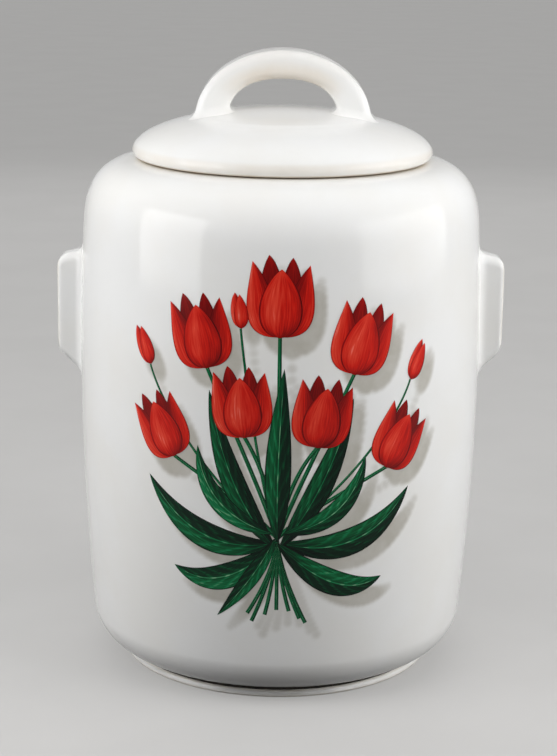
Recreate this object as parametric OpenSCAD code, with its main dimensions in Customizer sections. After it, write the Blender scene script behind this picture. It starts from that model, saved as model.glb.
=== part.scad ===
// Glazed stoneware biscuit jar with a lift-off lid, two side lugs and a loop handle.
// Millimetres, +Z up, origin at the centre of the foot on the table, front towards -Y.

/* [Jar body] */
// Largest radius of the body
body_r = 88.2; // [80:0.1:110]
// Height at which the body is widest
belly_z = 132; // [110:1:150]
// Radius of the long bow that runs up the body's side
belly_bow = 1213; // [800:1:4000]
// Height of the flat land around the mouth, where the lid sits
mouth_z = 223; // [210:0.5:260]
// Height of the shoulder's rounding below the land
shoulder_h = 27.2; // [18:0.1:36]
// Squareness of the shoulder's rounding, 2 for an ellipse
shoulder_n = 2.6; // [2:0.1:3]
// Height of the heel's rounding above the foot
heel_h = 16.1; // [12:0.1:24]
// Squareness of the heel's rounding, 2 for an ellipse
heel_n = 1.9; // [1.6:0.1:2.6]
// Thickness of the wall
wall = 5.5; // [4:0.1:7]
// Thickness of the jar's floor
floor_t = 7; // [5:0.1:10]
// Radius of the flat middle of the floor, inside
floor_r = 56; // [50:0.5:60]

/* [Mouth] */
// Radius of the mouth
mouth_r = 52; // [48:0.1:54]
// Thickness of the shoulder at the mouth
lip_t = 6; // [4.5:0.1:8]
// Radius of the mouth's upper edge
mouth_edge = 1.2; // [0.5:0.1:2]
// Width of the level land around the mouth
land_w = 8.6; // [7:0.1:12]

/* [Foot ring] */
// Outer radius of the ring on the table
foot_r = 69; // [64:0.1:74]
// How far the ring's side leans in towards the body
foot_lean = 0.8; // [0.2:0.1:1]
// Width of the ledge between the ring and the heel that springs from it
foot_ledge = 0.8; // [0.3:0.1:3]
// Height of the ring
foot_h = 5; // [4:0.1:7]
// Width of the ring
foot_w = 7; // [5:0.1:9]
// Radius of the ring's two lower edges
foot_edge = 1; // [0.5:0.1:1.5]
// Depth of the recess inside the ring
foot_recess = 4; // [2.5:0.1:5]

/* [Side lugs] */
// How far a lug stands out from the body's side
lug_stand = 10.1; // [7:0.1:20]
// Thickness of a lug, front to back
lug_t = 15; // [12:0.5:34]
// Depth of a lug's top below the land
lug_top_below = 40.3; // [34:0.1:60]
// Fall of the top between the body and the outer face
lug_top_fall = 2.4; // [0:0.1:8]
// Height of the right lug where it leaves the body
lug_h = 52.7; // [35:0.1:70]
// How much lower the left lug's top is
left_lug_low = 1; // [0:0.1:4]
// How much further down the left lug runs
left_lug_drop = 2; // [0:0.1:6]
// Rise of the underside between the body and the outer face
lug_under_rise = 8.5; // [4:0.5:18]
// Radius of a lug's edges along its top and its underside
lug_edge = 4; // [3:0.1:5]
// Radius of the two upright edges of its outer face
lug_side_edge = 2; // [1:0.1:4]
// Radius of the fillet between a lug and the body
lug_fillet = 3.2; // [1:0.1:4]

/* [Lid] */
// How far the lid's widest line reaches past the land
lid_over = 4.5; // [3:0.1:8]
// Height of the lid's widest line above the land
lid_rim_h = 3.6; // [2.5:0.1:6]
// How far the lid's underside reaches past the land at the seam
seam_over = 0.9; // [0:0.1:2]
// Open line between lid and land outside the seat
seam_gap = 0.7; // [0.3:0.1:1.2]
// Width of the seat on the land
seat_w = 4.5; // [3:0.1:6]
// Height of the dome's crest above the land
lid_h = 22; // [18:0.5:28]
// Squareness of the dome, 2 for an ellipse
lid_n = 1.92; // [1.7:0.02:2.2]
// How far the low disc under the loop reaches past the loop's outside
disc_over = 1.6; // [1:0.1:5]
// Height of the disc's edge
disc_step = 0.6; // [0.3:0.1:1.5]
// Width over which the disc's edge softens
disc_soft = 4; // [1:0.1:5]
// Thickness of the dome
lid_t = 5; // [4:0.1:7]

/* [Lid flange] */
// Depth of the flange that drops into the mouth
flange_h = 9; // [6:0.5:14]
// Thickness of the flange
flange_t = 4; // [3:0.1:5]
// Clearance between flange and mouth
flange_gap = 1.4; // [0.5:0.1:2.5]
// Radius of the flange's lower edges
flange_edge = 1; // [0.5:0.1:1.4]

/* [Loop handle] */
// Half the width of the loop's outside where it springs
loop_rx = 37.9; // [32:0.1:42]
// Height of the loop's top above the dome's crest
loop_h = 25; // [20:0.5:35]
// Depth of the springing below the crest, inside the dome
loop_sunk = 5; // [4:0.1:7]
// Thickness of a leg at the springing
leg_t = 14.2; // [11:0.1:16]
// Thickness of the loop at its crown
crown_t = 12.2; // [9:0.1:14]
// Squareness of the finger opening, 2 for an ellipse
hole_n = 2.35; // [2:0.05:2.8]
// Width of the loop, front to back
loop_w = 22; // [16:0.5:30]
// Radius of the loop's edges
loop_edge = 4; // [2:0.1:4.4]
// Radius of the fillet where the loop meets the dome
loop_fillet = 3.4; // [1.5:0.1:4]

/* [Hidden] */
glaze = "#f0efec";
$fn = 120;

// Steps in a quarter of a rounding, in the long side, in a small edge and in an edge's section
curve_steps = 14;
side_steps = 8;
edge_steps = 5;
section_steps = 5;
loop_steps = 40;

heel_r = foot_r - foot_lean - foot_ledge;
heel_z = foot_h + heel_h;
shoulder_z = mouth_z - shoulder_h;
floor_z = foot_recess + floor_t;
land_r = mouth_r + land_w;
flange_r = mouth_r - flange_gap;
lid_r = land_r + lid_over;
lid_seam_r = land_r + seam_over;
rim_z = mouth_z + lid_rim_h;
lug_top_z = mouth_z - lug_top_below;
lug_under_z = lug_top_z - lug_h;
lug_reach = side_r((lug_top_z + lug_under_z) / 2) + lug_stand;
disc_r = loop_rx + disc_over;
hole_rx = loop_rx - leg_t;
spring_z = mouth_z + lid_h - loop_sunk;
loop_rise = loop_h + loop_sunk;
hole_rise = loop_rise - crown_t;

// ---- Curves --------------------------------------------------------------

// Radius of the body's side at height z, before heel and shoulder round it in
function side_r(z) = body_r - (z - belly_z) * (z - belly_z) / (2 * belly_bow);

// How far a rounding of squareness n has come in at angle a, from 0 to 1
function come_in(a, n) = 1 - pow(cos(a), 2 / n);
function come_up(a, n) = pow(sin(a), 2 / n);

// One wall of the body from its low end (r0, z0) to its high end (r1, z1)
function body_wall(inset, r0, z0, r1, z1) = concat(
    [for (i = [curve_steps:-1:1])
        let (a = 90 * i / curve_steps, z = heel_z - (heel_z - z0) * come_up(a, heel_n))
        [side_r(z) - inset - (side_r(z0) - inset - r0) * come_in(a, heel_n), z]],
    [for (i = [0:side_steps])
        let (z = heel_z + (shoulder_z - heel_z) * i / side_steps)
        [side_r(z) - inset, z]],
    [for (i = [1:curve_steps])
        let (a = 90 * i / curve_steps, z = shoulder_z + (z1 - shoulder_z) * come_up(a, shoulder_n))
        [side_r(z) - inset - (side_r(z1) - inset - r1) * come_in(a, shoulder_n), z]]);

// Quarter of an ellipse about (r, z), between two angles
function arc(r, z, rx, rz, from, to, steps) =
    [for (i = [0:steps]) let (a = from + (to - from) * i / steps) [r + rx * cos(a), z + rz * sin(a)]];

// How high a dome of foot radius r and rise h stands at distance x from its axis
function dome_rise(x, r, h) = h * pow(1 - pow(x / r, lid_n), 1 / lid_n);

// Height of the lid's outside at distance x from the axis, on the disc or off it
function flank_z(x) = rim_z + dome_rise(x, lid_r, lid_h - lid_rim_h - disc_step);
function disc_z(x) = flank_z(x) + disc_step;

// Spread of a fillet of radius r at distance d from the surface it meets
function spread(r, d) = d >= r ? 0 : r - sqrt(r * r - (r - max(d, 0)) * (r - max(d, 0)));

// Outline of a rectangle with rounded corners, w by h
function round_rect(w, h, r) =
    [for (corner = [0:3], i = [0:section_steps])
        let (a = 90 * corner + 90 * i / section_steps,
             sx = (corner == 0 || corner == 3) ? 1 : -1,
             sy = corner < 2 ? 1 : -1)
        [sx * (w / 2 - r) + r * cos(a), sy * (h / 2 - r) + r * sin(a)]];

// Solid through a row of closed outlines that have the same number of points
module loft(rings) {
    n = len(rings[0]);
    last = len(rings) - 1;
    sides = [for (k = [0:last - 1], i = [0:n - 1], half = [0, 1])
        let (j = (i + 1) % n, a = k * n + i, b = k * n + j, c = a + n, d = b + n)
        half == 0 ? [a, d, b] : [a, c, d]];
    polyhedron(
        points = [for (ring = rings) each ring],
        faces = concat([[for (i = [0:n - 1]) i]], sides, [[for (i = [n - 1:-1:0]) last * n + i]]));
}

// ---- Jar -----------------------------------------------------------------

function body_outside() = body_wall(0, heel_r, foot_h, land_r, mouth_z);
function body_inside() = body_wall(wall, floor_r, floor_z, mouth_r, mouth_z - lip_t);

// The body's whole outside as one solid, which the lugs are cut to
module body_form() {
    rotate_extrude()
        polygon(concat([[0, foot_h]], body_outside(), [[0, mouth_z]]));
}

module jar_body() {
    inside = body_inside();
    color(glaze)
        rotate_extrude()
            polygon(concat(
                [[0, foot_recess]],
                [[foot_r - foot_w, foot_recess]],
                arc(foot_r - foot_w + foot_edge, foot_edge, foot_edge, foot_edge, 180, 270, edge_steps),
                arc(foot_r - foot_edge, foot_edge, foot_edge, foot_edge, 270, 360, edge_steps),
                [[foot_r - foot_lean / 2, foot_h - foot_lean / 2], [foot_r - foot_lean, foot_h]],
                body_outside(),
                arc(mouth_r + mouth_edge, mouth_z - mouth_edge, mouth_edge, mouth_edge, 90, 180, edge_steps),
                [for (i = [len(inside) - 1:-1:0]) inside[i]],
                [[0, floor_z]]));
}

// Distance from the jar's axis plane to the body's side, at y and z
function body_x(y, z) = sqrt(side_r(z) * side_r(z) - y * y);

// How far a rounding of radius r has come in, out of the way from the body to the outer face
function round_in(r, out) =
    let (past = max(0, out - (lug_stand - r)))
    r - sqrt(r * r - past * past);

// Outline across a lug, a share along of the way from the body's side to the outer face
function lug_ring(along, top_z, under_z) =
    let (out = along * lug_stand,
         inset = round_in(lug_edge, out),
         flare = spread(lug_fillet, out),
         top = top_z - lug_top_fall * along - inset + flare,
         under = under_z + lug_under_rise * along + inset - flare,
         middle = (top + under) / 2,
         width = lug_t + 2 * (flare - round_in(lug_side_edge, out)),
         outline = round_rect(width, top - under, lug_edge + flare - inset / 2))
    [for (p = outline)
        let (side = body_x(p[0], middle + p[1]))
        [side + (lug_reach - side) * along, p[0], middle + p[1]]];

module lug(top_z, under_z) {
    sunk = -0.5;
    last_turn = 84;
    fillet = [for (i = [0:edge_steps]) lug_fillet / lug_stand * (1 - cos(90 * i / edge_steps))];
    edge = [for (i = [0:edge_steps]) 1 - lug_edge / lug_stand * (1 - sin(last_turn * i / edge_steps))];
    difference() {
        loft([for (along = concat([sunk], fillet, edge)) lug_ring(along, top_z, under_z)]);
        body_form();
    }
}

module left_lug() {
    color(glaze) mirror([1, 0, 0]) lug(lug_top_z - left_lug_low, lug_under_z - left_lug_drop);
}

module right_lug() {
    color(glaze) lug(lug_top_z, lug_under_z);
}

// ---- Lid -----------------------------------------------------------------

function lid_outside() =
    let (flank_in = disc_r + disc_soft / 2,
         disc_out = disc_r - disc_soft / 2,
         flank_turn = acos(pow(flank_in / lid_r, lid_n / 2)))
    concat(
        arc(lid_seam_r, rim_z, lid_r - lid_seam_r, lid_rim_h - seam_gap, -90, 0, edge_steps),
        [for (i = [1:curve_steps])
            let (x = lid_r * pow(cos(flank_turn * i / curve_steps), 2 / lid_n))
            [x, flank_z(x)]],
        [for (i = [0:side_steps])
            let (x = disc_out * (1 - i / side_steps))
            [x, disc_z(x)]]);

function lid_inside(r) =
    [for (i = [0:curve_steps])
        let (x = r * sin(90 * i / curve_steps))
        [x, rim_z + dome_rise(x, r, lid_h - lid_rim_h - lid_t)]];

module lid() {
    bore_r = flange_r - flange_t;
    seat_r = mouth_r + mouth_edge + seat_w;
    edge_z = mouth_z - flange_h + flange_edge;
    color(glaze)
        rotate_extrude()
            polygon(concat(
                arc(bore_r + flange_edge, edge_z, flange_edge, flange_edge, 180, 270, edge_steps),
                arc(flange_r - flange_edge, edge_z, flange_edge, flange_edge, 270, 360, edge_steps),
                [[flange_r, mouth_z], [seat_r, mouth_z], [seat_r + seam_gap, mouth_z + seam_gap]],
                lid_outside(),
                lid_inside(bore_r)));
}

// The lid's outside as one solid, which the handle is cut to
module dome_form() {
    rotate_extrude()
        polygon(concat([[0, mouth_z], [lid_seam_r, mouth_z]], lid_outside()));
}

// Outline across the loop at angle a around it, spread by the fillets near the dome
function loop_ring(a) =
    let (hole_x = hole_rx * pow(abs(cos(a)), 2 / hole_n) * sign(cos(a)),
         hole_z = spring_z + hole_rise * pow(abs(sin(a)), 2 / hole_n) * sign(sin(a)),
         outer = [loop_rx * cos(a), spring_z + loop_rise * sin(a)],
         inner = [hole_x, hole_z],
         t = norm(outer - inner),
         out = (outer - inner) / t,
         in_flare = spread(loop_fillet, inner[1] - disc_z(hole_rx)),
         out_flare = spread(loop_fillet, outer[1] - disc_z(loop_rx)),
         flare = (in_flare + out_flare) / 2,
         middle = (outer + inner + (out_flare - in_flare) * out) / 2,
         outline = round_rect(t + 2 * flare, loop_w + 2 * flare, loop_edge + flare))
    [for (p = outline) [middle[0] + p[0] * out[0], p[1], middle[1] + p[0] * out[1]]];

module lid_handle() {
    sunk = 7;
    color(glaze)
        difference() {
            loft([for (i = [0:loop_steps]) loop_ring(-sunk + (180 + 2 * sunk) * i / loop_steps)]);
            dome_form();
        }
}

jar_body();
left_lug();
right_lug();
lid();
lid_handle();
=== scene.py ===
"""Looks of a glazed stoneware biscuit jar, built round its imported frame.

Lengths are in millimetres up to the point where a mesh is made, and the letters follow part.scad:
r is a distance from the jar's axis, z a height, u an arc round the body measured from its front."""
import math

import bmesh
import bpy
import numpy as np
from mathutils import Matrix, Vector


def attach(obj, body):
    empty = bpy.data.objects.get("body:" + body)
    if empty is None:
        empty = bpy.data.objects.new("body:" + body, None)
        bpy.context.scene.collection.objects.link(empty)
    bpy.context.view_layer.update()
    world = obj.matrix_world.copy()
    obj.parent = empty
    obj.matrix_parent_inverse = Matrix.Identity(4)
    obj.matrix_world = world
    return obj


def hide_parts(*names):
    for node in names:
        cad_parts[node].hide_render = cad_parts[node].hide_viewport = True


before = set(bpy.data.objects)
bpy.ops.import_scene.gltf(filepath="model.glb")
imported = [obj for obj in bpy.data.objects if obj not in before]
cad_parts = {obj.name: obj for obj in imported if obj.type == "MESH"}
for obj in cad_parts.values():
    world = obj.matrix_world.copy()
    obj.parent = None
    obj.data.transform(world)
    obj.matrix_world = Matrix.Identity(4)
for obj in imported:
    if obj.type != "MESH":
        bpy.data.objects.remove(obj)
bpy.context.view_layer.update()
MM = 0.001

# ---- Camera, at the photograph's viewing angle ------------------------------


def make_camera():
    data = bpy.data.cameras.new("camera")
    data.lens, data.sensor_width = 95.75, 36
    data.clip_start, data.clip_end = 0.05, 60
    camera = bpy.data.objects.new("camera", data)
    pitch, roll = math.radians(90 - 14.22), math.radians(0.79)
    place = Matrix.Translation((-0.0004, -0.872, 0.345))
    camera.matrix_world = place @ Matrix.Rotation(pitch, 4, "X") @ Matrix.Rotation(roll, 4, "Z")
    bpy.context.collection.objects.link(camera)
    bpy.context.scene.camera = camera


make_camera()

# ---- Sizes, as in part.scad -------------------------------------------------
# Two differ, as they come out nearer to the photograph so: SEAM_GAP is 0.7 there, and DISC_SOFT 4

BODY_R, BELLY_Z, BELLY_BOW = 88.2, 132, 1213
MOUTH_Z, MOUTH_R, LIP_T, MOUTH_EDGE, LAND_R = 223, 52, 6, 1.2, 60.6
SHOULDER_Z, SHOULDER_N = 195.8, 2.6
HEEL_Z, HEEL_N, HEEL_R = 21.1, 1.9, 67.4
WALL, FLOOR_R, FLOOR_Z = 5.5, 56, 11
FOOT_R, FOOT_LEAN, FOOT_H, FOOT_W, FOOT_EDGE, FOOT_RECESS = 69, 0.8, 5, 7, 1, 4
LUG_STAND, LUG_T, LUG_TOP_Z, LUG_UNDER_Z, LUG_TOP_FALL = 10.1, 15, 182.7, 130, 2.4
LUG_UNDER_RISE, LUG_EDGE, LUG_SIDE_EDGE, LUG_FILLET = 8.5, 4, 2, 3.2
LEFT_LUG_LOW, LEFT_LUG_DROP = 1, 2
LID_R, LID_SEAM_R, RIM_Z, RIM_H, SEAM_GAP, SEAT_W = 65.1, 61.5, 226.6, 3.6, 0.4, 4.5
LID_H, LID_N, LID_T, DISC_R, DISC_STEP, DISC_SOFT = 22, 1.92, 5, 39.5, 0.6, 5.5
FLANGE_R, FLANGE_T, FLANGE_H, FLANGE_EDGE = 50.6, 4, 9, 1
LOOP_RX, LOOP_RISE, HOLE_RX, HOLE_RISE, HOLE_N, SPRING_Z = 37.9, 30, 23.7, 17.8, 2.35, 240
LOOP_W, LOOP_EDGE, LOOP_FILLET = 22, 4, 3.4

# The dark line over the foot ring: a groove between these heights, cut in this far.
# It is in the scene alone
GROOVE_TOP, GROOVE_LOW, GROOVE_IN = 6.3, 3.1, 3.4
# The glazed side stands this far inside the solid's, so that the print on it stays in the solid
PRINT_ROOM = 0.15
# The underside of the foot ring is bare up to this height
BARE_BELOW = 0.35
ROUND_STEPS = 256
CURVE_STEPS = 26
EDGE_STEPS = 8


def side_r(z):
    return BODY_R - (z - BELLY_Z) ** 2 / (2 * BELLY_BOW)


def come_in(a, n):
    return 1 - max(math.cos(a), 0) ** (2 / n)


def come_up(a, n):
    return math.sin(a) ** (2 / n)


def quarter(steps):
    return [math.pi / 2 * i / steps for i in range(1, steps + 1)]


def body_wall(inset, r0, z0, r1, z1):
    """One wall of the body from its low end to its high end."""
    heel = []
    for a in reversed(quarter(CURVE_STEPS)):
        z = HEEL_Z - (HEEL_Z - z0) * come_up(a, HEEL_N)
        heel.append((side_r(z) - inset - (side_r(z0) - inset - r0) * come_in(a, HEEL_N), z))
    side = [(side_r(z) - inset, z) for z in np.linspace(HEEL_Z, SHOULDER_Z, CURVE_STEPS)]
    shoulder = []
    for a in quarter(CURVE_STEPS):
        z = SHOULDER_Z + (z1 - SHOULDER_Z) * come_up(a, SHOULDER_N)
        shoulder.append((side_r(z) - inset - (side_r(z1) - inset - r1) * come_in(a, SHOULDER_N), z))
    return heel + side + shoulder


def arc(r, z, rx, rz, start, end, steps=EDGE_STEPS):
    angles = np.radians(np.linspace(start, end, steps + 1))
    return [(r + rx * math.cos(a), z + rz * math.sin(a)) for a in angles]


def dome_rise(x, r, h):
    return h * (1 - min(x / r, 1) ** LID_N) ** (1 / LID_N)


def smooth(t):
    t = np.clip(t, 0, 1)
    return t * t * (3 - 2 * t)


def dome_z(x):
    """Height of the lid's outside, which steps up softly to the disc round the handle."""
    step = DISC_STEP * smooth((DISC_R + DISC_SOFT / 2 - x) / DISC_SOFT)
    return RIM_Z + dome_rise(x, LID_R, LID_H - RIM_H - DISC_STEP) + float(step)


# ---- Meshes -----------------------------------------------------------------


def make_piece(name, points, faces, materials, body, warm=None, replaced=(), picks=None,
               uv=None, tone=None, seed=None):
    """One piece of the jar from points in millimetres, riding on a body.
    warm, tone and seed are numbers for each point, which its materials read."""
    mesh = bpy.data.meshes.new(name)
    mesh.from_pydata([tuple(p * MM) for p in np.asarray(points, float)], [], faces)
    for key, values in {"warm": warm, "tone": tone, "seed": seed}.items():
        if values is not None:
            kept = mesh.attributes.new(key, "FLOAT", "POINT")
            kept.data.foreach_set("value", np.asarray(values, np.float32))
    if uv is not None:
        layer = mesh.uv_layers.new(name="blade")
        corners = np.array([uv[loop.vertex_index] for loop in mesh.loops], np.float32)
        layer.data.foreach_set("uv", corners.ravel())
    for material in materials:
        mesh.materials.append(material)
    if picks is not None:
        mesh.polygons.foreach_set("material_index", picks)
    mesh.polygons.foreach_set("use_smooth", [True] * len(mesh.polygons))
    clean = bmesh.new()
    clean.from_mesh(mesh)
    bmesh.ops.remove_doubles(clean, verts=clean.verts, dist=1e-7)
    bmesh.ops.dissolve_degenerate(clean, edges=clean.edges, dist=1e-8)
    if uv is None:
        bmesh.ops.recalc_face_normals(clean, faces=clean.faces)
    clean.to_mesh(mesh)
    clean.free()
    piece = bpy.data.objects.new(name, mesh)
    bpy.context.collection.objects.link(piece)
    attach(piece, body)
    if replaced:
        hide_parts(*replaced)
    return piece


def grid_faces(rows, columns, closed):
    """Quads between neighbouring rows, each row closed into a ring or left open."""
    across = columns if closed else columns - 1
    return [(k * columns + i, k * columns + (i + 1) % columns,
             (k + 1) * columns + (i + 1) % columns, (k + 1) * columns + i)
            for k in range(rows - 1) for i in range(across)]


def turn(name, profile, materials, body, replaced, warm_at, pick=None):
    """A piece turned about the jar's axis from a profile of (r, z)."""
    angles = 2 * math.pi * np.arange(ROUND_STEPS) / ROUND_STEPS
    c, s = np.cos(angles), np.sin(angles)
    rings = [np.stack([r * c, r * s, np.full(ROUND_STEPS, z)], 1) for r, z in profile]
    warm = np.repeat([warm_at(r, z) for r, z in profile], ROUND_STEPS)
    faces = grid_faces(len(profile), ROUND_STEPS, True)
    picks = None
    if pick:
        chosen = [pick(a, b) for a, b in zip(profile, profile[1:])]
        picks = np.repeat(chosen, ROUND_STEPS).astype(np.int32)
    return make_piece(name, np.concatenate(rings), faces, materials, body, warm, replaced, picks)


def rounded(w, h, r, steps=10):
    """Outline of a rectangle with rounded corners."""
    points = []
    for corner, (sx, sy) in enumerate(((1, 1), (-1, 1), (-1, -1), (1, -1))):
        for a in np.radians(np.linspace(90 * corner, 90 * corner + 90, steps + 1)):
            points.append((sx * (w / 2 - r) + r * math.cos(a), sy * (h / 2 - r) + r * math.sin(a)))
    return np.array(points)


def spread(r, d):
    """Spread of a fillet of radius r at distance d from the surface it meets."""
    d = np.clip(d, 0, r)
    return r - np.sqrt(r * r - (r - d) ** 2)


# ---- Materials --------------------------------------------------------------


def srgb(*rgb):
    """Linear colour of an sRGB colour written from 0 to 255."""
    lin = [c / 255 / 12.92 if c <= 10 else ((c / 255 + 0.055) / 1.055) ** 2.4 for c in rgb]
    return (*lin, 1)


GLAZE_PALE, GLAZE_CREAM = srgb(241, 241, 240), srgb(239, 238, 235)
# A tan colour for glaze that ran thin at edges, rims and the foot, and for painted shade under the
# loop's crown
GLAZE_THIN_AND_SHADE = srgb(214, 196, 168)
SPECK = srgb(120, 96, 70)


class Nodes:
    """Short calls for a material's nodes."""

    def __init__(self, name):
        self.material = bpy.data.materials.new(name)
        self.material.use_nodes = True
        self.tree = self.material.node_tree
        self.shader = self.tree.nodes["Principled BSDF"]

    def add(self, kind, **settings):
        node = self.tree.nodes.new(kind)
        for key, value in settings.items():
            setattr(node, key, value)
        return node

    def link(self, source, target):
        self.tree.links.new(source, target)

    def noise(self, coordinates, scale, detail=3.0, roughness=0.5):
        node = self.add("ShaderNodeTexNoise")
        node.inputs["Scale"].default_value = scale
        node.inputs["Detail"].default_value = detail
        node.inputs["Roughness"].default_value = roughness
        self.link(coordinates, node.inputs["Vector"])
        return node.outputs["Fac"]

    def span(self, value, low, high, out_low=0.0, out_high=1.0):
        node = self.add("ShaderNodeMapRange", clamp=True, interpolation_type="SMOOTHSTEP")
        self.link(value, node.inputs["Value"])
        ends = {"From Min": low, "From Max": high, "To Min": out_low, "To Max": out_high}
        for key, number in ends.items():
            node.inputs[key].default_value = number
        return node.outputs["Result"]

    def calc(self, operation, a, b):
        node = self.add("ShaderNodeMath", operation=operation)
        for socket, value in zip(node.inputs, (a, b)):
            if isinstance(value, (int, float)):
                socket.default_value = value
            else:
                self.link(value, socket)
        return node.outputs["Value"]

    def mix(self, share, a, b):
        node = self.add("ShaderNodeMix", data_type="RGBA")
        self.link(share, node.inputs["Factor"])
        for socket, value in ((node.inputs[6], a), (node.inputs[7], b)):
            if isinstance(value, tuple):
                socket.default_value = value
            else:
                self.link(value, socket)
        return node.outputs[2]

    def place(self):
        return self.add("ShaderNodeTexCoord").outputs["Object"]

    def attribute(self, name):
        return self.add("ShaderNodeAttribute", attribute_name=name).outputs["Fac"]

    def bump(self, height, strength, distance):
        node = self.add("ShaderNodeBump")
        node.inputs["Strength"].default_value = strength
        node.inputs["Distance"].default_value = distance
        self.link(height, node.inputs["Height"])
        self.link(node.outputs["Normal"], self.shader.inputs["Normal"])

    def glaze_colour(self):
        """The glaze's own colour: pale, creamier in patches, with a few iron specks."""
        place = self.place()
        cloud = self.span(self.noise(place, 26, 4), 0.35, 0.68)
        colour = self.mix(cloud, GLAZE_PALE, GLAZE_CREAM)
        cells = self.add("ShaderNodeTexVoronoi")
        cells.inputs["Scale"].default_value = 62
        self.link(place, cells.inputs["Vector"])
        chosen = self.add("ShaderNodeSeparateColor")
        self.link(cells.outputs["Color"], chosen.inputs["Color"])
        rare = self.calc("GREATER_THAN", chosen.outputs[0], 0.955)
        spot = self.span(cells.outputs["Distance"], 0.012, 0.022, 1.0, 0.0)
        return self.mix(self.calc("MULTIPLY", rare, spot), colour, SPECK)

    def gloss(self):
        """A thick clear glaze: glossy, with a faint wave and a roughness that changes in patches."""
        place = self.place()
        self.shader.inputs["IOR"].default_value = 1.5
        rough = self.span(self.noise(place, 45, 2), 0.3, 0.7, 0.07, 0.13)
        self.link(rough, self.shader.inputs["Roughness"])
        self.bump(self.noise(place, 38, 2), 0.08, 0.0006)


def glaze_material():
    m = Nodes("glaze")
    # The warm points take on the tan colour: thin glaze at edges, rims and the foot, and painted shade
    # under the loop's crown
    edge = m.attribute("warm")
    thin = m.calc("MULTIPLY", edge, m.span(m.noise(m.place(), 90, 3), 0.2, 0.7, 0.65, 1.0))
    m.link(m.mix(thin, m.glaze_colour(), GLAZE_THIN_AND_SHADE), m.shader.inputs["Base Color"])
    m.gloss()
    return m.material


def matt_material(name, grain_size, dark, pale, rough, bump):
    """Something grainy without glaze. grain_size is the noise's scale, detail and roughness."""
    m = Nodes(name)
    grain = m.noise(m.place(), *grain_size)
    m.link(m.mix(m.span(grain, 0.3, 0.7), dark, pale), m.shader.inputs["Base Color"])
    m.link(m.span(grain, 0.2, 0.8, *rough), m.shader.inputs["Roughness"])
    m.bump(grain, bump, 0.0003)
    return m.material


glaze = glaze_material()
# The bare fired clay that the foot stands on
clay = matt_material("bare_clay", (900, 6, 0.7), srgb(203, 186, 160), srgb(226, 214, 193),
                     (0.75, 0.92), 0.4)
# The groove over the foot: matt and near black, as painted shade
groove = matt_material("groove_painted_shade", (420, 5, 0.6), srgb(40, 37, 34), srgb(84, 77, 68),
                       (0.7, 0.9), 0.3)

# ---- Jar --------------------------------------------------------------------


def near(value, centre, reach):
    return float(smooth(1 - abs(value - centre) / reach))


def jar_profile():
    inside = body_wall(WALL, FLOOR_R, FLOOR_Z, MOUTH_R, MOUTH_Z - LIP_T)
    outside = body_wall(PRINT_ROOM, HEEL_R, FOOT_H, LAND_R, MOUTH_Z)
    outside = [(r, z) for r, z in outside if z > GROOVE_TOP]
    groove_r = HEEL_R - GROOVE_IN
    foot_in = FOOT_R - FOOT_W
    lip = arc(MOUTH_R + MOUTH_EDGE, MOUTH_Z - MOUTH_EDGE, MOUTH_EDGE, MOUTH_EDGE, 180, 90)
    foot = arc(FOOT_R - FOOT_EDGE, FOOT_EDGE, FOOT_EDGE, FOOT_EDGE, 0, -90)
    foot += arc(foot_in + FOOT_EDGE, FOOT_EDGE, FOOT_EDGE, FOOT_EDGE, 270, 180)
    rows = [(0, FLOOR_Z), (20, FLOOR_Z), (42, FLOOR_Z)] + inside + lip
    rows += [(r, MOUTH_Z) for r in (55, 58, 60)] + outside[::-1]
    rows += [(HEEL_R + 0.3, GROOVE_TOP), (groove_r, GROOVE_TOP - 0.4), (groove_r, GROOVE_LOW + 0.1)]
    rows += [(FOOT_R - FOOT_LEAN - 0.4, GROOVE_LOW), (FOOT_R - FOOT_LEAN, GROOVE_LOW - 0.4)]
    rows += [(FOOT_R - FOOT_LEAN / 2, GROOVE_LOW - 1.2)] + foot
    rows += [(foot_in, FOOT_RECESS - 0.6), (foot_in - 0.6, FOOT_RECESS)]
    return rows + [(40, FOOT_RECESS), (0, FOOT_RECESS)]


def jar_warmth(r, z):
    """How much the glaze takes on GLAZE_THIN_AND_SHADE's colour, where it ran thin."""
    land = near(z, MOUTH_Z, 2.0) if r < LAND_R + 1.5 else 0
    foot = 0.4 * near(z, GROOVE_LOW - 0.2, 1.0) if r > HEEL_R else 0
    return max(land, foot, 0.7 * near(z, 0, 1.6))


def jar_pick(a, b):
    """What the ring between two points of the profile is made of: 0 glaze, 1 clay, 2 the groove's
    painted shade.
    """
    low, high = sorted((a[1], b[1]))
    if high < BARE_BELOW:
        return 1
    in_foot = min(a[0], b[0]) > FOOT_R - FOOT_W
    return 2 if in_foot and GROOVE_LOW <= low and high <= GROOVE_TOP else 0


turn("glazed_body", jar_profile(), [glaze, clay, groove], "jar", ["jar_body"], jar_warmth, jar_pick)


def round_in(r, out):
    """How far a rounding of radius r has come in, out of the way to the lug's outer face."""
    past = max(0, out - (LUG_STAND - r))
    return r - math.sqrt(max(r * r - past * past, 0))


def lug_ring(along, top_z, under_z):
    out = along * LUG_STAND
    inset = round_in(LUG_EDGE, out)
    flare = float(spread(LUG_FILLET, out))
    top = top_z - LUG_TOP_FALL * along - inset + flare
    under = under_z + LUG_UNDER_RISE * along + inset - flare
    width = LUG_T + 2 * (flare - round_in(LUG_SIDE_EDGE, out))
    outline = rounded(width, top - under, LUG_EDGE + flare - inset / 2)
    y, z = outline[:, 0], outline[:, 1] + (top + under) / 2
    side = np.sqrt(side_r(z) ** 2 - y ** 2)
    reach = side_r((LUG_TOP_Z + LUG_UNDER_Z) / 2) + LUG_STAND
    return np.stack([side + (reach - side) * along, y, z], 1)


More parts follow.
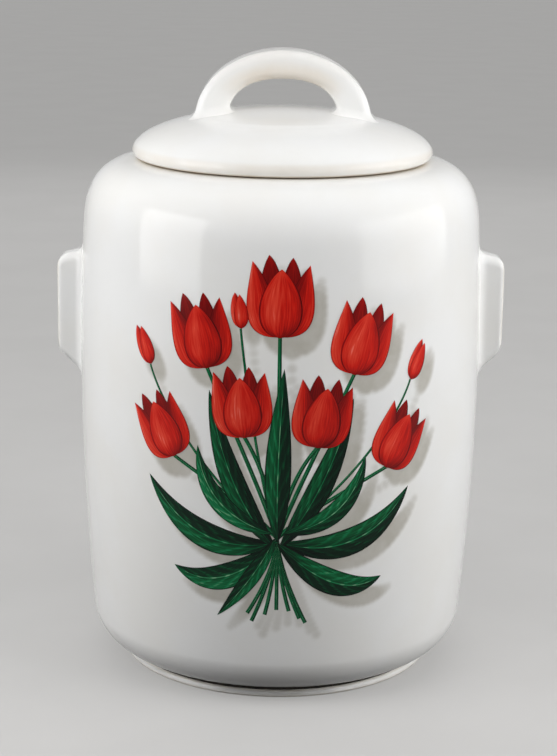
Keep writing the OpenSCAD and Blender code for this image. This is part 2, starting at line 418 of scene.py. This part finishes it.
def make_lug(name, node, top_z, under_z, hand):
    turns = np.radians(np.linspace(0, 84, 14))
    shares = [-0.04, *(LUG_FILLET / LUG_STAND * (1 - np.cos(turns / 84 * 90))), 0.4, 0.5,
              *(1 - LUG_EDGE / LUG_STAND * (1 - np.sin(turns)))]
    rings = [lug_ring(share, top_z, under_z) for share in shares]
    middle = rings[-1].mean(0)
    rings += [middle + (rings[-1] - middle) * k for k in (0.97, 0.75, 0.4, 0.0)]
    points = np.concatenate(rings) * (hand, 1, 1)
    edge = [0.35 * near(share, 1, 0.12) for share in shares] + [0.1] * 4
    warm = np.repeat(edge, len(rings[0]))
    make_piece(name, points, grid_faces(len(rings), len(rings[0]), True), [glaze], "jar", warm, [node])


make_lug("glazed_left_lug", "left_lug", LUG_TOP_Z - LEFT_LUG_LOW, LUG_UNDER_Z - LEFT_LUG_DROP, -1)
make_lug("glazed_right_lug", "right_lug", LUG_TOP_Z, LUG_UNDER_Z, 1)

# ---- Lid --------------------------------------------------------------------


def lid_profile():
    bore, tip, lift = FLANGE_R - FLANGE_T, MOUTH_Z - FLANGE_H, 0.02
    seat = MOUTH_R + MOUTH_EDGE + SEAT_W
    rise = LID_H - RIM_H - LID_T
    inside = [(x, RIM_Z + dome_rise(x, bore, rise)) for x in bore * np.sin([0, *quarter(CURVE_STEPS)])]
    flange = arc(bore + FLANGE_EDGE, tip + FLANGE_EDGE, FLANGE_EDGE, FLANGE_EDGE, 180, 270)
    flange += arc(FLANGE_R - FLANGE_EDGE, tip + FLANGE_EDGE, FLANGE_EDGE, FLANGE_EDGE, 270, 360)
    under = [(FLANGE_R, MOUTH_Z - 0.6), (FLANGE_R + 0.6, MOUTH_Z + lift), (seat, MOUTH_Z + lift),
             (seat + SEAM_GAP, MOUTH_Z + SEAM_GAP)]
    rim = arc(LID_SEAM_R, RIM_Z, LID_R - LID_SEAM_R, RIM_H - SEAM_GAP, -90, 0, 14)
    turns = np.linspace(0, math.pi / 2, 3 * CURVE_STEPS)[1:]
    flank = [LID_R * max(math.cos(a), 0) ** (2 / LID_N) for a in turns]
    step = list(np.linspace(DISC_R + DISC_SOFT / 2, DISC_R - DISC_SOFT / 2, 9))
    off_step = [x for x in flank if abs(x - DISC_R) > DISC_SOFT / 2]
    radii = sorted(set(off_step + step + [0.0]), reverse=True)
    return inside + flange + under + rim + [(x, dome_z(x)) for x in radii]


def lid_warmth(r, z):
    return max(0.85 * near(z, MOUTH_Z + SEAM_GAP, 1.7), 0.25 * near(r, LID_R, 1.2))


turn("glazed_lid", lid_profile(), [glaze], "lid", ["lid"], lid_warmth)


def loop_points(angle, w_share, v_share):
    """Points of the loop's bare outline at an angle round it: the shares say where on the section."""
    c, s = np.cos(angle), np.sin(angle)
    inner = np.stack([HOLE_RX * np.abs(c) ** (2 / HOLE_N) * np.sign(c),
                      SPRING_Z + HOLE_RISE * np.abs(s) ** (2 / HOLE_N) * np.sign(s)], -1)
    outer = np.stack([LOOP_RX * c, SPRING_Z + LOOP_RISE * s], -1)
    across = outer - inner
    thick = np.linalg.norm(across, axis=-1)
    out = across / thick[..., None]
    w = w_share[0] * (thick / 2 - LOOP_EDGE) + w_share[1]
    y = v_share[0] * (LOOP_W / 2 - LOOP_EDGE) + v_share[1]
    middle = (outer + inner) / 2 + w[..., None] * out
    return middle[..., 0], np.broadcast_to(y, w.shape), middle[..., 1], out


def make_loop():
    corner_steps, main_steps, foot_steps = 12, 90, 14
    signs = np.repeat([(1, 1), (-1, 1), (-1, -1), (1, -1)], corner_steps + 1, axis=0)
    quarters = [np.linspace(90 * k, 90 * k + 90, corner_steps + 1) for k in range(4)]
    corner = np.radians(np.concatenate(quarters))
    turned = np.stack([np.cos(corner), np.sin(corner)], 1)
    w_share = (signs[:, 0], LOOP_EDGE * turned[:, 0])
    v_share = (signs[:, 1], LOOP_EDGE * turned[:, 1])
    dome = np.vectorize(dome_z)

    def height(angle):
        x, y, z, _ = loop_points(angle, w_share, v_share)
        return z - dome(np.hypot(x, y))

    def angle_at(want):
        low, high = np.full(len(signs), -0.3), np.full(len(signs), 0.9)
        for _ in range(40):
            middle = (low + high) / 2
            below = height(middle) < want
            low, high = np.where(below, middle, low), np.where(below, high, middle)
        return (low + high) / 2

    climbs = LOOP_FILLET * (1 - np.cos(np.linspace(0, math.pi / 2, foot_steps)))
    left = [angle_at(h) for h in climbs]
    share = np.linspace(0, 1, main_steps)[1:-1, None]
    across = list(left[-1] + (math.pi - 2 * left[-1]) * share)
    rows, warm = [], []
    for number, angle in enumerate(left + across + [math.pi - a for a in reversed(left)]):
        x, y, z, out = loop_points(angle, w_share, v_share)
        above = z - dome(np.hypot(x, y))
        flare = spread(LOOP_FILLET, above)
        x = x + flare * turned[:, 0] * out[:, 0]
        y = y + flare * turned[:, 1]
        near_dome = above < LOOP_FILLET
        z = np.where(near_dome, dome(np.hypot(x, y)) + np.maximum(above, -0.05), z)
        rows.append(np.stack([x, y, z], 1))
        # Painted shade: on the loop's upper part, the side facing the hole takes on the tan glaze colour
        # strongly and the other sides a little
        crown_painted_shade = np.where(signs[:, 0] < 0, 0.5 + 0.1 * np.clip(-turned[:, 0], 0, 1), 0.12)
        warm.append(crown_painted_shade * smooth((np.sin(angle) - 0.35) / 0.6))
    for end, sink in ((0, rows[0]), (len(rows), rows[-1])):
        rows.insert(end, sink - (0, 0, 0.12))
        warm.insert(end, warm[0] * 0)
    points = np.concatenate(rows)
    faces = grid_faces(len(rows), len(signs), True)
    make_piece("glazed_loop", points, faces, [glaze], "lid", np.concatenate(warm), ["lid_handle"])


make_loop()

# ---- Printed flowers: a tied bunch of tulips of no particular design --------

# A colour for each tone from 0, the darkest, to 1
RED_STOPS = ((0.0, (76, 2, 4)), (0.28, (138, 10, 8)), (0.52, (204, 26, 14)),
             (0.76, (226, 66, 46)), (1.0, (246, 164, 146)))
GREEN_STOPS = ((0.0, (0, 16, 8)), (0.3, (0, 42, 24)), (0.55, (0, 88, 48)),
               (0.78, (22, 132, 80)), (1.0, (136, 190, 148)))
SHADE = srgb(184, 180, 170)
# How far each layer of the print stands off the glazed side: no two that overlap share a level
SHADE_LIFT, STEM_LIFT, LEAF_LIFT, LEAF_APART = 0.02, 0.035, 0.047, 0.0045
PETAL_LIFTS = (0.092, 0.1, 0.109, 0.118, 0.128)
# Well under the glaze's own shine, so that the colours keep their depth
PRINT_SHINE = 0.15
# Brush strokes across a blade and along it, and how much they change its tone
STROKES_ACROSS, STROKES_ALONG, STROKE_DEPTH = 9.0, 1.4, 0.62
# Side veins along a leaf, how they slant away from its rib, and how far the strokes bend them
VEINS_ALONG, VEIN_SLANT, VEIN_BEND = 46.0, 20.0, 6.0


def print_material(name, colours, veins):
    """Transfer colour under the clear glaze, brushed along each petal or leaf."""
    m = Nodes(name)
    blade = m.add("ShaderNodeSeparateXYZ")
    m.link(m.add("ShaderNodeUVMap", uv_map="blade").outputs["UV"], blade.inputs["Vector"])
    across, along = blade.outputs["X"], blade.outputs["Y"]
    off_middle = m.calc("ABSOLUTE", m.calc("SUBTRACT", across, 0.5), 0)
    brush = m.add("ShaderNodeCombineXYZ")
    m.link(m.calc("MULTIPLY", across, STROKES_ACROSS), brush.inputs["X"])
    m.link(m.calc("MULTIPLY", along, STROKES_ALONG), brush.inputs["Y"])
    m.link(m.calc("MULTIPLY", m.attribute("seed"), 17.0), brush.inputs["Z"])
    stroke = m.calc("SUBTRACT", m.noise(brush.outputs["Vector"], 2.4, 4), 0.5)
    value = m.calc("ADD", m.attribute("tone"), m.calc("MULTIPLY", stroke, STROKE_DEPTH))
    if veins:
        rib = m.span(off_middle, 0.008, 0.03, 0.42, 0.0)
        ladder = m.add("ShaderNodeMath", operation="SINE")
        spaced = m.calc("MULTIPLY", along, VEINS_ALONG)
        slant = m.calc("SUBTRACT", spaced, m.calc("MULTIPLY", off_middle, VEIN_SLANT))
        m.link(m.calc("ADD", slant, m.calc("MULTIPLY", stroke, VEIN_BEND)), ladder.inputs[0])
        vein = m.span(ladder.outputs["Value"], 0.2, 1.0, -0.04, 0.13)
        value = m.calc("ADD", m.calc("ADD", value, rib), vein)
    value = m.calc("SUBTRACT", value, m.span(off_middle, 0.44, 0.495, 0.0, 0.4))
    ramp = m.add("ShaderNodeValToRGB")
    m.link(value, ramp.inputs["Fac"])
    stops = ramp.color_ramp.elements
    stops[0].position, stops[0].color = colours[0][0], srgb(*colours[0][1])
    stops[1].position, stops[1].color = colours[-1][0], srgb(*colours[-1][1])
    for position, colour in colours[1:-1]:
        stops.new(position).color = srgb(*colour)
    m.link(ramp.outputs["Color"], m.shader.inputs["Base Color"])
    m.gloss()
    m.shader.inputs["Specular IOR Level"].default_value = PRINT_SHINE
    return m.material


def shade_material():
    m = Nodes("print_shade")
    grain = m.span(m.noise(m.place(), 140, 3), 0.25, 0.75, 0.8, 1.0)
    share = m.calc("MULTIPLY", m.attribute("tone"), grain)
    m.link(m.mix(share, m.glaze_colour(), SHADE), m.shader.inputs["Base Color"])
    m.gloss()
    return m.material


def curve(points, steps):
    """Points along one smooth curve from the first point to the last, which leans to those between."""
    t = np.linspace(0, 1, steps)[:, None]
    rows = [np.repeat([p], steps, 0).astype(float) for p in points]
    while len(rows) > 1:
        rows = [a * (1 - t) + b * t for a, b in zip(rows, rows[1:])]
    return rows[0]


def swell(steps, early, full):
    """A blade's half width along it: 0 at both ends, widest nearer the foot when early is over 1."""
    t = np.linspace(0, 1, steps)
    return np.maximum(np.sin(math.pi * t ** (1 / early)), 0) ** full


class Print:
    """Flat blades on the jar's side, gathered in one piece. Each fills the space between two edges."""

    def __init__(self):
        self.points, self.faces, self.uv, self.tone, self.seed, self.spines = [], [], [], [], [], []

    def fill(self, left, right, lift, shade, columns=11):
        """shade(s, t) is the tone at s from -1, the left edge, to 1, and t from 0, the foot, to 1."""
        start, rows = len(self.points), len(left)
        for k, (a, b) in enumerate(zip(left, right)):
            for s in np.linspace(-1, 1, columns):
                u, z = a + (b - a) * (s + 1) / 2
                r = side_r(z) - PRINT_ROOM + lift
                self.points.append((r * math.sin(u / BODY_R), -r * math.cos(u / BODY_R), z))
                self.uv.append((0.5 + 0.5 * s, k / (rows - 1)))
                self.tone.append(shade(s, k / (rows - 1)))
                self.seed.append(lift * 40 + len(self.spines))
        self.faces += [tuple(start + i for i in quad) for quad in grid_faces(rows, columns, False)]
        half = np.linalg.norm(right - left, axis=1) / 2
        self.spines.append(np.column_stack([(left + right) / 2, half]))

    def blade(self, spine, half, lift, shade, columns=9):
        spine = np.asarray(spine, float)
        ahead = np.gradient(spine, axis=0)
        ahead /= np.linalg.norm(ahead, axis=1)[:, None]
        beside = np.stack([ahead[:, 1], -ahead[:, 0]], 1) * np.asarray(half, float)[:, None]
        self.fill(spine - beside, spine + beside, lift, shade, columns)

    def finish(self, name, material):
        make_piece(name, self.points, self.faces, [material], "jar",
                   uv=self.uv, tone=self.tone, seed=self.seed)


def turned_by(points, degrees, scale, foot):
    a = math.radians(degrees)
    points = np.asarray(points, float) * scale
    return np.stack([points[:, 0] * math.cos(a) + points[:, 1] * math.sin(a),
                     points[:, 1] * math.cos(a) - points[:, 0] * math.sin(a)], 1) + foot


def rise(value, low, high):
    return float(smooth((value - low) / (high - low)))


# The shade of each petal, as Print.fill asks for it: the light comes from the upper left


def back_petal(s, t):
    return 0.20 + 0.14 * rise(t, 0.7, 1) - 0.08 * abs(s)


def left_petal(s, t):
    across = 0.22 * rise(-s, 0.1, 0.9) - 0.30 * rise(s, -0.2, 0.8)
    return 0.52 + across - 0.26 * (1 - rise(t, 0, 0.4)) + 0.10 * rise(t, 0.8, 1)


def right_petal(s, t):
    across = 0.14 * rise(s, 0.3, 1) - 0.26 * rise(-s, -0.3, 0.8)
    return 0.44 + across - 0.24 * (1 - rise(t, 0, 0.4)) + 0.10 * rise(t, 0.8, 1)


def front_petal(s, t):
    glow = math.exp(-((s + 0.35) / 0.33) ** 2) * math.sin(math.pi * t)
    along = 0.16 * rise(t, 0.8, 1) - 0.30 * (1 - rise(t, 0, 0.45))
    return 0.50 + 0.24 * glow + along - 0.12 * rise(s, 0.4, 1)


# Each petal's left edge, right edge and shade, from the one behind to the one in front
OPEN_CUP = (
    ([(-0.4, 1), (-11, 5), (-9, 25), (-4.6, 32)], [(-0.4, 1), (3, 6), (2, 27), (-4.6, 32)], back_petal),
    ([(0.4, 1), (-3, 6), (0, 26), (4.8, 31)], [(0.4, 1), (11, 5), (10, 24), (4.8, 31)], back_petal),
    ([(-0.6, 0), (-18, -1), (-13, 17), (-11.2, 29.5)], [(-0.6, 0), (-1, 5), (-1, 19), (-11.2, 29.5)],
     left_petal),
    ([(0.6, 0), (1, 5), (1.5, 18), (11.6, 28)], [(0.6, 0), (17.5, -1), (13.5, 16), (11.6, 28)],
     right_petal),
    ([(0, -0.3), (-12.5, 1), (-10, 19), (0.4, 26.5)], [(0, -0.3), (12, 1), (11, 18), (0.4, 26.5)],
     front_petal))
SHUT_CUP = (
    ([(-0.3, 0.5), (-8, 3), (-6, 19), (-1.4, 24)], [(-0.3, 0.5), (3, 5), (3, 19), (-1.4, 24)],
     left_petal),
    ([(0.3, 0), (-5, 2), (-4.5, 14), (1.6, 22.5)], [(0.3, 0), (9, 2), (6.5, 16), (1.6, 22.5)],
     front_petal))

reds, greens = Print(), Print()


def tulip(foot, lean, scale, tone, cup=OPEN_CUP):
    for (left, right, shade), lift in zip(cup, PETAL_LIFTS[-len(cup):]):
        edges = [turned_by(curve(edge, 24), lean, scale, foot) for edge in (left, right)]
        reds.fill(*edges, lift, lambda s, t: shade(s, t) + tone)


def stem(points, width=0.8):
    spine = curve(points, 40)
    half = np.linspace(width * 1.25, width, 40)
    greens.blade(spine, half, STEM_LIFT, lambda s, t: 0.50 - 0.18 * s, 5)


def leaf(points, width, tone, number):
    """A long pointed leaf, lighter on the half that faces up and darker at its foot."""
    def shade(s, t):
        glow = math.exp(-((s + 0.5) / 0.3) ** 2) * math.sin(math.pi * t)
        across = 0.15 * math.tanh(-3 * s) + 0.1 * glow
        return tone + across - 0.22 * (1 - rise(t, 0, 0.3)) - 0.10 * rise(t, 0.75, 1)
    half = swell(44, 1.12, 0.85) * width
    greens.blade(curve(points, 44), half, LEAF_LIFT + LEAF_APART * number, shade, 13)


# Where the stems are tied, as (u, z)
BUNCH = (0, 78)
# Foot of each head as (u, z), its lean, its size and how much lighter it is
HEADS = (((0, 163), 0, 1.04, 0.02), ((-30, 149), -13, 0.98, -0.03), ((31, 147), 14, 0.98, 0.03),
         ((-14, 121), -6, 0.94, 0.05), ((16, 117), 8, 0.94, -0.02), ((-45, 110), -27, 0.9, 0.01),
         ((47, 106), 27, 0.9, -0.02))
BUDS = (((-57, 147), -24, 0.72, 0.0), ((58, 142), 25, 0.72, 0.02), ((-16, 166), -7, 0.62, 0.04))
for number, (foot, lean, scale, tone) in enumerate(HEADS):
    low = (-0.3 * foot[0] + 1.5 * math.sin(2.4 * number), 43 + 3 * math.cos(1.9 * number))
    bend = (foot[0] * 0.28, 98 + 0.1 * foot[1] - 0.35 * abs(foot[0]))
    stem([BUNCH, bend, foot])
    stem([low, (0.12 * low[0], 62), BUNCH], 0.7)
    tulip(foot, lean, scale, tone)
for foot, lean, scale, tone in BUDS:
    stem([BUNCH, (foot[0] * 0.42, 96), (foot[0] * 0.9, foot[1] - 16), foot], 0.5)
    tulip(foot, lean, scale, tone, SHUT_CUP)
# Each leaf's curve from the knot to its tip, its width and its tone
LEAVES = (([(-1, 76), (-36, 68), (-58, 100)], 6.2, 0.37), ([(1, 76), (38, 66), (59, 96)], 6.2, 0.33),
          ([(-1, 74), (-22, 96), (-29, 140)], 5.2, 0.31), ([(1, 74), (21, 98), (31, 137)], 5.2, 0.29),
          ([(0, 76), (-1, 104), (2, 150)], 5.4, 0.35),
          ([(0, 76), (-24, 50), (-46, 62)], 5.6, 0.45), ([(0, 76), (26, 48), (47, 58)], 5.6, 0.39),
          ([(-2, 80), (-32, 88), (-34, 116)], 4.4, 0.49), ([(2, 80), (32, 84), (37, 112)], 4.4, 0.43),
          ([(-1, 78), (-9, 60), (-26, 42)], 3.6, 0.41))
for number, (points, width, tone) in enumerate(LEAVES):
    leaf(points, width, tone, number)


def make_shade():
    """One soft shadow under the whole bunch, thrown down to the right."""
    step, reach, throw = 0.9, 2.6, np.array([5.0, -5.5])
    us, zs = np.arange(-70, 78, step), np.arange(24, 201, step)
    grid_u, grid_z = np.meshgrid(us, zs)
    dark = np.zeros_like(grid_u)
    for spine in reds.spines + greens.spines:
        for u, z, half in spine[::2]:
            away = np.hypot(grid_u - u - throw[0], grid_z - z - throw[1])
            depth = min(1, 0.35 + half / 5)
            dark = np.maximum(dark, smooth(1 - (away - 0.75 * half) / reach) * depth)
    r = side_r(grid_z) - PRINT_ROOM + SHADE_LIFT
    turned = grid_u / BODY_R
    points = np.stack([r * np.sin(turned), -r * np.cos(turned), grid_z], -1).reshape(-1, 3)
    dark = dark.ravel()
    faces = [f for f in grid_faces(len(zs), len(us), False) if max(dark[list(f)]) > 0]
    used = sorted(set(i for f in faces for i in f))
    renamed = {old: new for new, old in enumerate(used)}
    faces = [tuple(renamed[i] for i in f) for f in faces]
    uv = [(0.5, 0.5)] * len(used)
    make_piece("print_shadow", points[used], faces, [shade_material()], "jar", uv=uv, tone=dark[used])


make_shade()
greens.finish("print_leaves", print_material("print_green", GREEN_STOPS, True))
reds.finish("print_petals", print_material("print_red", RED_STOPS, False))

# ---- Floor and light --------------------------------------------------------

# How much paler the floor looks than the lamps alone would make it
FLOOR_GLOW = 0.27


def make_floor():
    """A plain floor: pale where it is seen or mirrored, while it throws little light up at the jar."""
    m = Nodes("floor")
    rays = m.add("ShaderNodeLightPath").outputs
    mirrored = m.calc("MAXIMUM", rays["Is Glossy Ray"], rays["Is Transmission Ray"])
    seen = m.calc("MAXIMUM", rays["Is Camera Ray"], mirrored)
    cloud = m.span(m.noise(m.place(), 14, 3), 0.3, 0.7)
    pale = m.mix(cloud, srgb(148, 147, 146), srgb(152, 151, 150))
    m.link(m.mix(seen, srgb(30, 30, 29), pale), m.shader.inputs["Base Color"])
    m.shader.inputs["Emission Color"].default_value = srgb(255, 254, 252)
    m.link(m.calc("MULTIPLY", seen, FLOOR_GLOW), m.shader.inputs["Emission Strength"])
    m.shader.inputs["Roughness"].default_value = 0.7
    mesh = bpy.data.meshes.new("floor")
    near_y, far_y, half, low = -4, 14, 9, -0.0002
    corners = [(-half, near_y, low), (half, near_y, low), (half, far_y, low), (-half, far_y, low)]
    mesh.from_pydata(corners, [], [(0, 1, 2, 3)])
    mesh.materials.append(m.material)
    floor = bpy.data.objects.new("floor", mesh)
    bpy.context.collection.objects.link(floor)


def make_world(front, back):
    """A plain pale room, darker on the camera's side than behind the jar."""
    world = bpy.data.worlds.new("room")
    bpy.context.scene.world = world
    world.use_nodes = True
    tree = world.node_tree
    split = tree.nodes.new("ShaderNodeSeparateXYZ")
    tree.links.new(tree.nodes.new("ShaderNodeTexCoord").outputs["Generated"], split.inputs["Vector"])
    level = tree.nodes.new("ShaderNodeMapRange")
    for key, value in (("From Min", -1), ("From Max", 1), ("To Min", front), ("To Max", back)):
        level.inputs[key].default_value = value
    tree.links.new(split.outputs["Y"], level.inputs["Value"])
    tree.links.new(level.outputs["Result"], tree.nodes["Background"].inputs["Strength"])
    tree.nodes["Background"].inputs["Color"].default_value = (1, 1, 1, 1)


def make_softbox(name, azimuth, elevation, away, size, radiance, aim=0.15, seen_in_glaze=False):
    """A soft box that faces the jar's axis at the height aim. Azimuth 0 is in front, 90 at the right.
    A box either is seen in the glaze or lights the jar and the floor, so that each has its own level."""
    a, e = math.radians(azimuth), math.radians(elevation)
    out = Vector((math.sin(a) * math.cos(e), -math.cos(a) * math.cos(e), math.sin(e)))
    data = bpy.data.lights.new(name, "AREA")
    data.shape, data.size, data.size_y = "RECTANGLE", *size
    data.energy = radiance * math.pi * size[0] * size[1]
    lamp = bpy.data.objects.new(name, data)
    lamp.location = Vector((0, 0, aim)) + out * away
    lamp.rotation_mode = "QUATERNION"
    lamp.rotation_quaternion = (-out).to_track_quat("-Z", "Y")
    lamp.visible_diffuse = not seen_in_glaze
    lamp.visible_glossy = seen_in_glaze
    bpy.context.collection.objects.link(lamp)


make_floor()
make_world(0.05, 0.45)
make_softbox("left_light", -84, 11, 1.1, (0.9, 0.6), 2.6)
make_softbox("left_front_light", -55, 25, 0.55, (0.4, 0.4), 3.2, aim=0.2)
make_softbox("right_light", 74, 16, 1.1, (1.0, 0.6), 4.3)
make_softbox("right_front_light", 60, 25, 0.55, (0.4, 0.4), 1.6, aim=0.2)
make_softbox("top_light", 0, 58, 0.6, (0.5, 0.5), 0.95)
make_softbox("back_light", 180, 25, 1.4, (1.2, 0.9), 0.9)
make_softbox("left_shine", -64, 11, 1.1, (0.82, 0.68), 2.3, seen_in_glaze=True)
make_softbox("right_shine", 75, 11, 1.1, (1.3, 0.68), 1.6, seen_in_glaze=True)

bpy.context.scene.view_settings.view_transform = "Standard"
